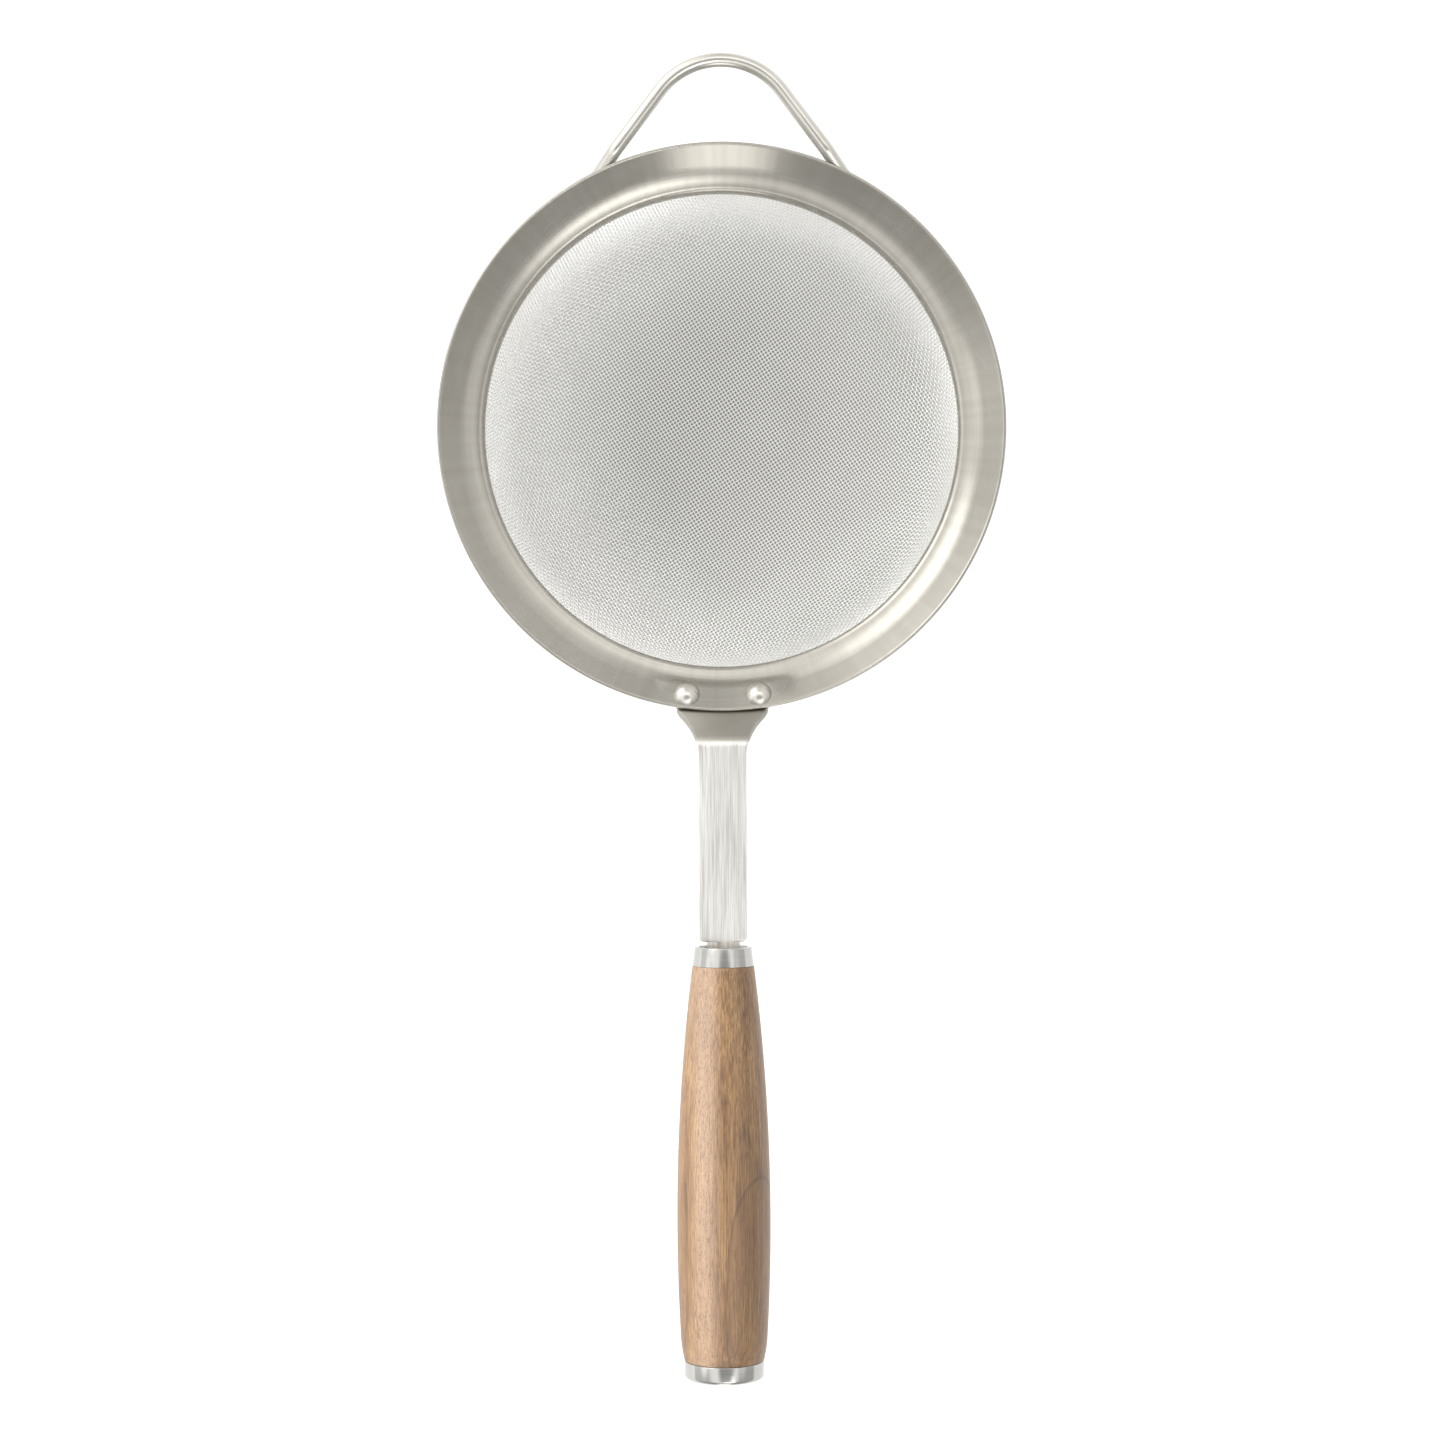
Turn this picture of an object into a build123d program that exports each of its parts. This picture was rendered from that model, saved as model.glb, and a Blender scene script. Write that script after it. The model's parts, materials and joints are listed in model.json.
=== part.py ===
from build123d import *
from math import asin, atan2, cos, degrees, hypot, radians, sin, sqrt, tan
import os

# Hand strainer with a round woven wire bowl, a riveted strap and a turned wooden grip.
# Millimetres. The pieces are worked out in the bowl's own frame: its axis is Z, the top
# of its lip is z = 0, the handle runs along -Y and the rest loop along +Y. They are moved
# together at the end, so that the origin is under the middle of the whole object.

# Bowl rim, one pressed collar of sheet steel with a round edge
rim_radius = 60.0  # outside of the lip
sheet = 0.8
flange_angle = 44.0  # slope of the flange, degrees above level
flange_plan = 5.4  # from the lip's middle to the corner of flange and ledge
flange_bend = 9.0  # radius of that corner, on the middle of the sheet
ledge_angle = 12.0
collar_plan = 9.5  # from the outside of the lip to the inside of the neck, seen from above
neck_bend = 0.85
neck_height = 3.28  # from the corner of ledge and neck to the neck's end

# Woven cloth basket and the band that clamps its edge round the neck
cloth = 0.5  # two wires thick
cloth_lap = 1.9  # of the cloth's upright edge on the neck
basket_depth = 28.0  # below the neck
knuckle_radius = 16.0  # where the wall turns into the floor
band_wall = 0.8
band_height = 2.2
nest_gap = 0.05  # between pieces that nest round one another

# Rest loop, one bent round wire
loop_wire = 3.0
loop_stand = 18.8  # from the lip to the outside of the loop's end
loop_radius = 16.0  # bend at its end, on the middle of the wire
limb_angle = 53.0  # of each limb, from the X direction
loop_drop = 0.8  # middle of the wire below the lip
foot_length = 14.0  # seen from above
foot_bend = 4.0
weld_gap = 0.32  # at the feet's ends: the straight foot nears the round flange between them

# Strap that carries the bowl, cut from plate, with a head under the flange
strap = 2.0
strap_width = 10.0
strap_rise = 4.4  # middle of the level bar above the lip
strap_bend = 2.6
head_width = 24.0
head_lap = 6.2  # of the head under the flange, in from the lip
head_corner = 4.0
head_flare = 11.4  # radius of the concave sides
flare_run = 9.5  # from the lip to where the sides meet the bar
bar_run = 48.2  # from the lip to where the bar steps in to the tang
shoulder_corner = 1.0
tang_width = 7.0
tang_depth = 36.6  # beyond the ferrule
seat_gap = 0.03

# Rivets
rivet_pitch = 15.2
rivet_inset = 3.0  # in from the lip
rivet_shank = 3.0
rivet_head = 5.4
head_edge = 0.3  # straight edge under the dome
head_height = 1.8
tail_width = 4.8
tail_height = 1.1
hole_gap = 0.05
seat_press = 0.12  # the flange is pressed flat this deep under each head

# Turned handle
mouth_gap = 1.0  # from the bar's shoulder to the ferrule's mouth
ferrule_length = 4.0
ferrule_wall = 1.25
ferrule_taper = 0.45  # the mouth's radius is this much less
ferrule_round = 0.3
grip_length = 82.3
grip_radius = 9.75  # at its fullest
grip_fullest = 53.1  # from the front of the grip
grip_sweep = 430.0  # radius of the barrel's long curve
grip_edge = 1.2
front_tenon = 3.3
tang_gap = 0.1
cap_radius = 8.35
cap_length = 3.75
cap_wall = 1.7
cap_floor = 1.2
cap_round = 0.9
cap_lip = 0.2

# Worked out from the sizes above
slope = tan(radians(flange_angle))
flange_sin = sin(radians(flange_angle))
flange_cos = cos(radians(flange_angle))
lip_mid = rim_radius - sheet / 2
neck_radius = rim_radius - collar_plan
corner_radius = lip_mid - flange_plan
corner_z = -sheet / 2 - flange_plan * slope
neck_mid = neck_radius + sheet / 2
ledge_end_z = corner_z - (corner_radius - neck_mid) * tan(radians(ledge_angle))
rim_depth = neck_height - ledge_end_z
collar_top = rim_depth - cloth_lap
cloth_mid = neck_radius + sheet + nest_gap + cloth / 2
band_inner = cloth_mid + cloth / 2 + nest_gap
knuckle_middle = cloth_mid - knuckle_radius
floor_radius = (knuckle_middle**2 + basket_depth**2 - knuckle_radius**2) / (
    2 * (basket_depth - knuckle_radius)
)
floor_middle = floor_radius - basket_depth - rim_depth
floor_angle = degrees(atan2(floor_middle + rim_depth, knuckle_middle))
loop_reach = rim_radius + loop_stand
head_inner = rim_radius - head_lap
flare_end = rim_radius + flare_run
shoulder = rim_radius + bar_run
ferrule_mouth = shoulder + mouth_gap
grip_start = ferrule_mouth + ferrule_length
tang_end = grip_start + tang_depth
grip_end = grip_start + grip_length
cap_end = grip_end + cap_length
bowl_y = (cap_end - loop_reach) / 2
lip_z = rim_depth + basket_depth + cloth / 2


def barrel(along):
    """Radius of the wooden grip at a distance along the handle: one long circular sweep."""
    off = along - grip_start - grip_fullest
    return grip_radius - grip_sweep + sqrt(grip_sweep**2 - off**2)


grip_front_radius = barrel(grip_start)
tenon_radius = grip_front_radius - ferrule_wall - nest_gap
cap_tenon_radius = cap_radius - cap_wall - nest_gap


def spun(section):
    """A section in radius and height, turned round the bowl's axis."""
    return revolve(Plane.XZ * section, axis=Axis.Z)


def turned(section):
    """A section in radius and distance along the handle, turned round the grip's axis."""
    along_handle = Plane(origin=(0, 0, strap_rise), x_dir=(1, 0, 0), z_dir=(0, -1, 0))
    return along_handle.location * spun(section)


def block(low, high):
    """A rectangle of a section, from its low corner to its high one."""
    size = (high[0] - low[0], high[1] - low[1])
    return Pos((low[0] + high[0]) / 2, (low[1] + high[1]) / 2) * Rectangle(*size)


def rivet_seats():
    """The two places on the flange, each as a plane whose Z is square to the sheet."""
    reach = rim_radius - rivet_inset
    turn = asin(rivet_pitch / 2 / reach)
    above = sheet / 2 - seat_press  # from the sheet's middle to the seat
    top_radius = lip_mid - above * flange_sin
    top_z = -sheet / 2 + above * flange_cos
    seats = {}
    for side, name in ((-1, "left"), (1, "right")):
        outward = Vector(side * sin(turn), -cos(turn), 0)
        square = outward * -flange_sin + Vector(0, 0, flange_cos)
        along = outward * flange_cos + Vector(0, 0, flange_sin)
        place = outward * reach + Vector(0, 0, top_z - (top_radius - reach) * slope)
        seats[name] = Plane(origin=place, x_dir=along, z_dir=square)
    return seats


def bowl_rim():
    """Lip, sloping flange, near-level ledge and upright neck, pressed from one sheet."""
    middle = FilletPolyline(
        (lip_mid, -sheet / 2),
        (corner_radius, corner_z),
        (neck_mid, ledge_end_z),
        (neck_mid, -rim_depth + sheet / 2),
        radius=[flange_bend, neck_bend],
    )
    outline = offset(middle, sheet / 2, kind=Kind.ARC, side=Side.BOTH, closed=True)
    rim = spun(make_face(outline))
    for seat in rivet_seats().values():
        hole = Cylinder(rivet_shank / 2 + hole_gap, 4 * sheet)
        flat = Pos(0, 0, head_height / 2) * Cylinder(rivet_head / 2 + hole_gap, head_height)
        rim -= seat.location * (hole + flat)
    return rim


def basket_body(grow):
    """All that the basket's middle surface encloses, grown by a distance."""
    wall = cloth_mid + grow
    edge = Polyline((0, -collar_top), (wall, -collar_top), (wall, -rim_depth))
    knuckle = CenterArc(
        (knuckle_middle, -rim_depth), knuckle_radius + grow, 0, -floor_angle
    )
    base = CenterArc((0, floor_middle), floor_radius + grow, -floor_angle, floor_angle - 90)
    axis = Line(base @ 1, (0, -collar_top))
    return spun(make_face([*edge.edges(), knuckle, base, axis]))


def mesh_basket():
    """The cloth as one thin shell: an upright collar, a knuckle and a shallow round floor."""
    return basket_body(cloth / 2) - basket_body(-cloth / 2)


def mesh_ring():
    """The plain band that holds the cloth's edge against the neck."""
    low = -rim_depth - 0.1 * band_height
    return spun(block((band_inner, low), (band_inner + band_wall, low + band_height)))


def rest_loop():
    """One wire: a round end, two level limbs and two feet that lie along the flange."""
    wire = loop_wire / 2
    run = Vector(cos(radians(limb_angle)), -sin(radians(limb_angle)), 0)
    bend_middle = loop_reach - wire - loop_radius
    apex = Vector(0, bend_middle + loop_radius / run.X, -loop_drop)
    away = sheet / 2 + wire + weld_gap  # from the sheet's middle to the wire's

    def under_flange(radius):
        return -sheet / 2 - away / flange_cos - (lip_mid - radius) * slope

    knee_radius = lip_mid + (sheet / 2 + away / flange_cos - loop_drop) / slope
    along = -run.Y * apex.Y - sqrt(knee_radius**2 - (run.X * apex.Y) ** 2)
    knee = apex + run * along
    toe = knee + run * foot_length
    toe = Vector(toe.X, toe.Y, under_flange(hypot(toe.X, toe.Y)))
    half = [toe, knee]
    other = [Vector(-p.X, p.Y, p.Z) for p in reversed(half)]
    path = FilletPolyline(*half, apex, *other, radius=[foot_bend, loop_radius, foot_bend])
    start = Plane(origin=path @ 0, z_dir=path % 0)
    return sweep(start * Circle(wire), path=path)


def handle_arm():
    """Strap with a dished head under the flange, a bend, a level bar and a narrower tang."""
    down = sheet / 2 + seat_gap + strap / 2
    flange_r = lip_mid + down * flange_sin
    flange_z = -sheet / 2 - down * flange_cos
    corner = flange_r + (strap_rise - flange_z) / slope
    inner = head_inner - 2 * strap
    middle = FilletPolyline(
        (inner, flange_z - (flange_r - inner) * slope),
        (corner, strap_rise),
        (tang_end + strap, strap_rise),
        radius=strap_bend,
    )
    outline = offset(middle, strap / 2, kind=Kind.ARC, side=Side.BOTH, closed=True)
    reach = 2 * degrees(asin(head_width / 2 / head_inner))
    dished = revolve(Plane.XZ * make_face(outline), axis=Axis.Z, revolution_arc=2 * reach)
    dished = Rot(0, 0, -90 - reach) * dished

    bar, head, tang = strap_width / 2, head_width / 2, tang_width / 2
    flare_x = bar + head_flare
    flare_y = -flare_end + sqrt(head_flare**2 - (flare_x - head) ** 2)
    flare_mid = radians(180 - degrees(asin((flare_y + flare_end) / head_flare)) / 2)
    half = [
        Line((0, -head_inner), (head - head_corner, -head_inner)),
        CenterArc((head - head_corner, -head_inner - head_corner), head_corner, 90, -90),
        Line((head, -head_inner - head_corner), (head, flare_y)),
        ThreePointArc(
            (head, flare_y),
            (flare_x + head_flare * cos(flare_mid), -flare_end + head_flare * sin(flare_mid)),
            (bar, -flare_end),
        ),
        Line((bar, -flare_end), (bar, -shoulder + shoulder_corner)),
        CenterArc((bar - shoulder_corner, -shoulder + shoulder_corner), shoulder_corner, 0, -90),
        Line((bar - shoulder_corner, -shoulder), (tang, -shoulder)),
        Line((tang, -shoulder), (tang, -tang_end)),
        Line((tang, -tang_end), (0, -tang_end)),
    ]
    plan = make_face([*half, *(mirror(edge, about=Plane.YZ) for edge in half)])
    arm = dished & (Pos(0, 0, -rim_depth) * extrude(plan, 3 * rim_depth))
    for seat in rivet_seats().values():
        arm -= seat.location * Cylinder(rivet_shank / 2 + hole_gap, 4 * (strap + sheet))
    return arm


def rivet(seat):
    """Domed head on the flange, shank through both plates, and a flat tail formed below."""
    grip_of_rivet = sheet - seat_press + seat_gap + strap
    radius = rivet_head / 2
    dome = head_height - head_edge
    dome_radius = (radius**2 + dome**2) / (2 * dome)
    shoulder_turn = degrees(asin(radius / dome_radius))
    top = CenterArc((0, head_height - dome_radius), dome_radius, 90 - shoulder_turn, shoulder_turn)
    outline = Polyline(
        (0, head_height),
        (0, -grip_of_rivet - tail_height),
        (tail_width / 2, -grip_of_rivet - tail_height),
        (tail_width / 2, -grip_of_rivet),
        (rivet_shank / 2, -grip_of_rivet),
        (rivet_shank / 2, 0),
        (radius, 0),
        (radius, head_edge),
    )
    return seat.location * spun(make_face([*outline.edges(), top]))


def front_ferrule():
    """Tapered ring on the grip's front tenon, standing past it to leave an open mouth."""
    inner = tenon_radius + nest_gap
    mouth = grip_front_radius - ferrule_taper
    outline = Polyline(
        (inner, ferrule_mouth),
        (mouth, ferrule_mouth),
        (grip_front_radius, grip_start),
        (inner, grip_start),
        close=True,
    )
    section = make_face(outline)
    front_edges = section.vertices().group_by(Axis.Y)[0]
    return turned(fillet(front_edges, ferrule_round))


def grip():
    """Wooden barrel with a tenon at each end and a slot for the tang."""
    tenon_end = cap_end - cap_floor - nest_gap
    tenon_start = grip_start - front_tenon
    rear = (barrel(grip_end), grip_end)
    ends = Polyline(
        rear,
        (cap_tenon_radius, grip_end),
        (cap_tenon_radius, tenon_end),
        (0, tenon_end),
        (0, tenon_start),
        (tenon_radius, tenon_start),
        (tenon_radius, grip_start),
        (grip_front_radius, grip_start),
    )
    fullest = (grip_radius, grip_start + grip_fullest)
    side = ThreePointArc((grip_front_radius, grip_start), fullest, rear)
    section = make_face([*ends.edges(), side])
    rear_edge = section.vertices().sort_by_distance(Vector(*rear))[0]
    wood = turned(fillet(rear_edge, grip_edge))
    slot_length = tang_end + tang_gap - tenon_start
    slot = Box(tang_width + 2 * tang_gap, slot_length, strap + 2 * tang_gap)
    return wood - Pos(0, -tenon_start - slot_length / 2, strap_rise) * slot


def end_cap():
    """Shallow cup on the grip's rear tenon, with a round edge and a flat end."""
    cup = block((0, grip_end), (cap_radius, cap_end))
    cup -= block((0, grip_end), (cap_radius - cap_wall, cap_end - cap_floor))
    cup = fillet(cup.vertices().sort_by_distance(Vector(cap_radius, cap_end))[0], cap_round)
    cup = fillet(cup.vertices().sort_by_distance(Vector(cap_radius, grip_end))[0], cap_lip)
    return turned(cup)


def main():
    seats = rivet_seats()
    pieces = {
        "bowl_rim": bowl_rim(),
        "mesh_ring": mesh_ring(),
        "mesh_basket": mesh_basket(),
        "rest_loop": rest_loop(),
        "handle_arm": handle_arm(),
        "rivet_left": rivet(seats["left"]),
        "rivet_right": rivet(seats["right"]),
        "front_ferrule": front_ferrule(),
        "grip": grip(),
        "end_cap": end_cap(),
    }
    os.makedirs("parts", exist_ok=True)
    for name, piece in pieces.items():
        export_step(Pos(0, bowl_y, lip_z) * piece, f"parts/{name}.step")


main()
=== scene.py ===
import json
import bpy
import numpy as np
from math import radians
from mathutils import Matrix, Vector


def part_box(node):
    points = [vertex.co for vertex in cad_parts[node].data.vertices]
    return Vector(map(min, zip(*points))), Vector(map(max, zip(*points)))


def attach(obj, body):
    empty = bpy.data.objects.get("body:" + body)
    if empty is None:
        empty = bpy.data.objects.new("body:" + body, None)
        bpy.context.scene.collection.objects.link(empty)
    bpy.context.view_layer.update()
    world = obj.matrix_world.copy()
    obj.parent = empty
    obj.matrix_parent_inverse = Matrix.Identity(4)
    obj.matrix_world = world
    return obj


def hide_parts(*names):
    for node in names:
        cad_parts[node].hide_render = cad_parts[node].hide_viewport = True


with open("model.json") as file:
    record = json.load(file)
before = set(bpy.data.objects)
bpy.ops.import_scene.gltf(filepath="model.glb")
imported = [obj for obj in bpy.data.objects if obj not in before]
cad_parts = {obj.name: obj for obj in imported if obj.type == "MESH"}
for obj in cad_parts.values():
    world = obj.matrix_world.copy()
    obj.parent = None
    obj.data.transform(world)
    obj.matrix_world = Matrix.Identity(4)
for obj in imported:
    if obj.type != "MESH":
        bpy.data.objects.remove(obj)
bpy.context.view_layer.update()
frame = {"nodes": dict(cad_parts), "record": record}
print("frame loaded")

# Everything below is worked out in the bowl's own frame, in millimetres: its axis is Z, the top of
# its lip is z = 0, the handle runs along -Y. toMetres moves points to their place in the shared frame.
mm = 0.001
mounts = {mount["name"]: mount for mount in frame["record"]["mounts"]}
rimLow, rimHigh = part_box("bowl_rim")
bowlMiddle = np.array([0.0, mounts["clamp_band"]["pos_m"][1], rimHigh.z])
rimRadius = rimHigh.x / mm
rimDepth = (rimHigh.z - rimLow.z) / mm
gripHeight = (mounts["end_cap_face"]["pos_m"][2] - rimHigh.z) / mm


def toMetres(points):
    return points * mm + bowlMiddle


def nodeSpan(node):
    # how far a node reaches along the handle, from the bowl's axis
    low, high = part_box(node)
    return (bowlMiddle[1] - high.y) / mm, (bowlMiddle[1] - low.y) / mm


def unit(vectors):
    # the same directions, each of length one
    return vectors / np.linalg.norm(vectors, axis=-1, keepdims=True)


def smooth(low, high, value):
    # 0 below low, 1 above high, and a cubic ease between them
    t = np.clip((value - low) / (high - low), 0, 1)
    return t * t * (3 - 2 * t)


def bentPath(points, radii, spacing):
    # straight runs joined by tangent arcs; an arc leaves its run at radius * tan(half the turn) before the
    # corner, and turns about a centre that stands radius to the inner side; then evenly spaced points
    points = np.array(points, float)
    pieces = [points[:1]]
    for before, corner, after, radius in zip(points[:-2], points[1:-1], points[2:], radii):
        way, nextWay = unit(corner - before), unit(after - corner)
        turn = np.arccos(np.clip(way @ nextWay, -1, 1))
        inner = unit(nextWay - way * (way @ nextWay))
        start = corner - way * radius * np.tan(turn / 2)
        angle = np.linspace(0, turn, 24)[:, None]
        pieces.append(start + way * radius * np.sin(angle) + inner * radius * (1 - np.cos(angle)))
    pieces.append(points[-1:])
    path = np.concatenate(pieces)
    along = np.concatenate([[0], np.cumsum(np.linalg.norm(np.diff(path, axis=0), axis=1))])
    even = np.linspace(0, along[-1], int(np.ceil(along[-1] / spacing)) + 1)
    return np.stack([np.interp(even, along, path[:, k]) for k in range(path.shape[1])], axis=1)


def arcPoints(middle, radius, fromDegrees, toDegrees, count):
    angle = np.radians(np.linspace(fromDegrees, toDegrees, count))
    return np.stack([middle[0] + radius * np.cos(angle), middle[1] + radius * np.sin(angle)], axis=1)


def gridFaces(rows, columns, closeRows=False, closeColumns=True):
    # quads of a grid of points kept row after row, whose ends may join up, with a UV corner for each
    across, along = columns - (not closeColumns), rows - (not closeRows)
    i, j = np.meshgrid(np.arange(along), np.arange(across), indexing="ij")
    corners = [(i, j), (i + 1, j), (i + 1, j + 1), (i, j + 1)]
    faces = np.stack([a % rows * columns + b % columns for a, b in corners], axis=-1).reshape(-1, 4)
    uv = np.stack([np.stack([b / across, a / along], axis=-1) for a, b in corners], axis=-2)
    return faces, uv.reshape(-1, 2)


def makePiece(name, points, faceSets, uv, material, nodes, sharp=40):
    # one mesh from arrays of corner numbers, one row for each face
    corners = np.concatenate([faces.ravel() for faces in faceSets])
    sizes = np.concatenate([np.full(len(faces), faces.shape[1]) for faces in faceSets])
    mesh = bpy.data.meshes.new(name)
    mesh.vertices.add(len(points))
    mesh.vertices.foreach_set("co", toMetres(points).ravel())
    mesh.loops.add(len(corners))
    mesh.loops.foreach_set("vertex_index", corners)
    mesh.polygons.add(len(sizes))
    mesh.polygons.foreach_set("loop_start", np.cumsum(sizes) - sizes)
    mesh.polygons.foreach_set("use_smooth", np.ones(len(sizes), bool))
    mesh.update(calc_edges=True)
    layer = mesh.uv_layers.new(name="UVMap")
    layer.data.foreach_set("uv", np.asarray(uv, float).ravel())
    mesh.set_sharp_from_angle(angle=radians(sharp))
    mesh.materials.append(material)
    piece = bpy.data.objects.new(name, mesh)
    bpy.context.scene.collection.objects.link(piece)
    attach(piece, "root")
    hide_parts(*nodes)


def spun(profile, count):
    # a profile of radius and height turned round Z, profile point by profile point
    angle = np.linspace(0, 2 * np.pi, count, endpoint=False)
    radius, height = profile[:, :1], profile[:, 1:]
    return np.stack([radius * np.cos(angle), radius * np.sin(angle), height + 0 * angle], axis=-1)


poleRadius = 0.05  # the small face that closes a turned piece at its axis


def closedEnds(rows, columns):
    # one flat face over the first row and one over the last
    first = np.arange(columns)[None, :]
    last = ((rows - 1) * columns + np.arange(columns - 1, -1, -1))[None, :]
    share = np.arange(columns) / columns
    uv = np.concatenate([np.stack([share, 0 * share], 1), np.stack([share[::-1], 0 * share + 1], 1)])
    return [first, last], uv


def linear(hexColour):
    # an sRGB hex value to the linear colour that shaders use
    parts = [int(hexColour[k:k + 2], 16) / 255 for k in (1, 3, 5)]
    return [p / 12.92 if p <= 0.04045 else ((p + 0.055) / 1.055) ** 2.4 for p in parts] + [1.0]


def addNode(tree, kind, settings=None, links=None):
    node = tree.nodes.new("ShaderNode" + kind)
    for key, value in (settings or {}).items():
        if key == "stops":
            ramp = node.color_ramp
            while len(ramp.elements) < len(value):
                ramp.elements.new(0.5)
            for element, (place, colour) in zip(ramp.elements, value):
                element.position = place
                element.color = colour
        elif isinstance(key, int) or key in node.inputs:
            node.inputs[key].default_value = value
        else:
            setattr(node, key, value)
    for key, source in (links or {}).items():
        tree.links.new(source, node.inputs[key])
    return node


def newMaterial(name):
    material = bpy.data.materials.new(name)
    material.use_nodes = True
    material.node_tree.nodes.clear()
    return material, material.node_tree


def grey(value):
    return (value, value, value, 1.0)


def finishSurface(tree, shader, height, distance):
    bump = addNode(tree, "Bump", {"Strength": 1.0, "Distance": distance * mm}, {"Height": height})
    tree.links.new(bump.outputs[0], shader.inputs["Normal"])
    addNode(tree, "OutputMaterial", links={"Surface": shader.outputs[0]})


def finishSteel(tree, tone, gloss, height, depth, anisotropy=0.0):
    # a brushed steel's reflections are spread across its marks, a quarter turn from the UV map's U
    settings = {"Metallic": 1.0}
    links = {"Base Color": tone.outputs[2], "Roughness": gloss.outputs[0]}
    if anisotropy:
        tangent = addNode(tree, "Tangent", {"direction_type": "UV_MAP", "uv_map": "UVMap"})
        settings.update({"Anisotropic": anisotropy, "Anisotropic Rotation": 0.25})
        links["Tangent"] = tangent.outputs[0]
    shader = addNode(tree, "BsdfPrincipled", settings, links)
    finishSurface(tree, shader, height.outputs[0], depth)


# sizes of the marks on the steel, in mm; a belt's marks and a lathe's feed are really near 0.05 mm, and
# are drawn coarser so that they show
brushing = {"grooveWidth": 0.16, "grooveDepth": 0.001, "streakLength": 24.0, "rayWidth": 2.2}


# Stainless sheet, spun and brushed round the axis with a fine belt: soft long reflections that spread
# across the marks, and hair-fine rings that catch the light unevenly.
def brushedSheet():
    material, tree = newMaterial("stainlessBrushedRound")
    place = addNode(tree, "TexCoord")
    centred = addNode(tree, "Mapping", {"Location": [-v for v in bowlMiddle]}, {0: place.outputs["Object"]})
    flat = addNode(tree, "VectorMath", {"operation": "MULTIPLY", 1: (1, 1, 0)}, {0: centred.outputs[0]})
    radius = addNode(tree, "VectorMath", {"operation": "LENGTH"}, {0: flat.outputs[0]})
    outward = addNode(tree, "VectorMath", {"operation": "NORMALIZE"}, {0: flat.outputs[0]})
    parts = addNode(tree, "SeparateXYZ", links={0: centred.outputs[0]})
    # distance along the sheet's section, near enough: radius less height
    terms = {0: radius.outputs["Value"], 1: parts.outputs[2]}
    section = addNode(tree, "Math", {"operation": "SUBTRACT"}, terms)
    perMetre = 1 / (brushing["grooveWidth"] * mm)
    fine = addNode(tree, "Math", {"operation": "MULTIPLY", 1: perMetre}, {0: section.outputs[0]})
    turns = rimRadius / brushing["streakLength"]
    around = addNode(tree, "VectorMath", {"operation": "SCALE", "Scale": turns}, {0: outward.outputs[0]})
    bands = addNode(tree, "CombineXYZ", links={2: fine.outputs[0]})
    grooves = addNode(tree, "VectorMath", {"operation": "ADD"}, {0: around.outputs[0], 1: bands.outputs[0]})
    fineNoise = {"Scale": 1.0, "Detail": 2.0, "Roughness": 0.6}
    streaks = addNode(tree, "TexNoise", fineNoise, {0: grooves.outputs[0]})
    # faint rays that run from the lip to the neck, left where the belt was lifted
    turns = rimRadius / brushing["rayWidth"]
    spokes = addNode(tree, "VectorMath", {"operation": "SCALE", "Scale": turns}, {0: outward.outputs[0]})
    rays = addNode(tree, "TexNoise", {"Scale": 1.0, "Detail": 1.0, "Roughness": 0.5}, {0: spokes.outputs[0]})
    both = addNode(tree, "Mix", {"data_type": "FLOAT", 0: 0.5}, {2: streaks.outputs[0], 3: rays.outputs[0]})
    low, high = linear("#a19d93"), linear("#bab7af")
    tone = addNode(tree, "Mix", {"data_type": "RGBA", 6: low, 7: high}, {0: both.outputs[0]})
    gloss = addNode(tree, "MapRange", {3: 0.22, 4: 0.3}, {0: streaks.outputs[0]})
    finishSteel(tree, tone, gloss, streaks, brushing["grooveDepth"], 0.75)
    return material


rolling = {"lineWidth": 0.1923, "lineLength": 8.333, "lineDepth": 0.002}


# Stainless strip, rolled and bent: a dull even shine with faint lines round it.
def rolledStrip():
    material, tree = newMaterial("stainlessRolled")
    place = addNode(tree, "TexCoord")
    along, across = 1 / (rolling["lineLength"] * mm), 1 / (rolling["lineWidth"] * mm)
    lines = addNode(tree, "Mapping", {"Scale": (along, along, across)}, {0: place.outputs["Object"]})
    marks = addNode(tree, "TexNoise", {"Scale": 1.0, "Detail": 2.0}, {0: lines.outputs[0]})
    tone = addNode(
        tree, "Mix", {"data_type": "RGBA", 6: linear("#bdb9af"), 7: linear("#d0ccc2")}, {0: marks.outputs[0]},
    )
    gloss = addNode(tree, "MapRange", {3: 0.28, 4: 0.4}, {0: marks.outputs[0]})
    finishSteel(tree, tone, gloss, marks, rolling["lineDepth"])
    return material


plateMarks = {
    "streakWidth": 0.2083,
    "streakLength": 12.5,
    "bandWidth": 1.111,
    "bandLength": 33.33,
    "streakDepth": 0.004,
    # the plate's tone turns from the bar's to the head's darker one over this run beside the bend
    "headToneRun": (-0.4, 0.8),  # the finish changes over this run beside the bend, towards the bowl
}
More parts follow.
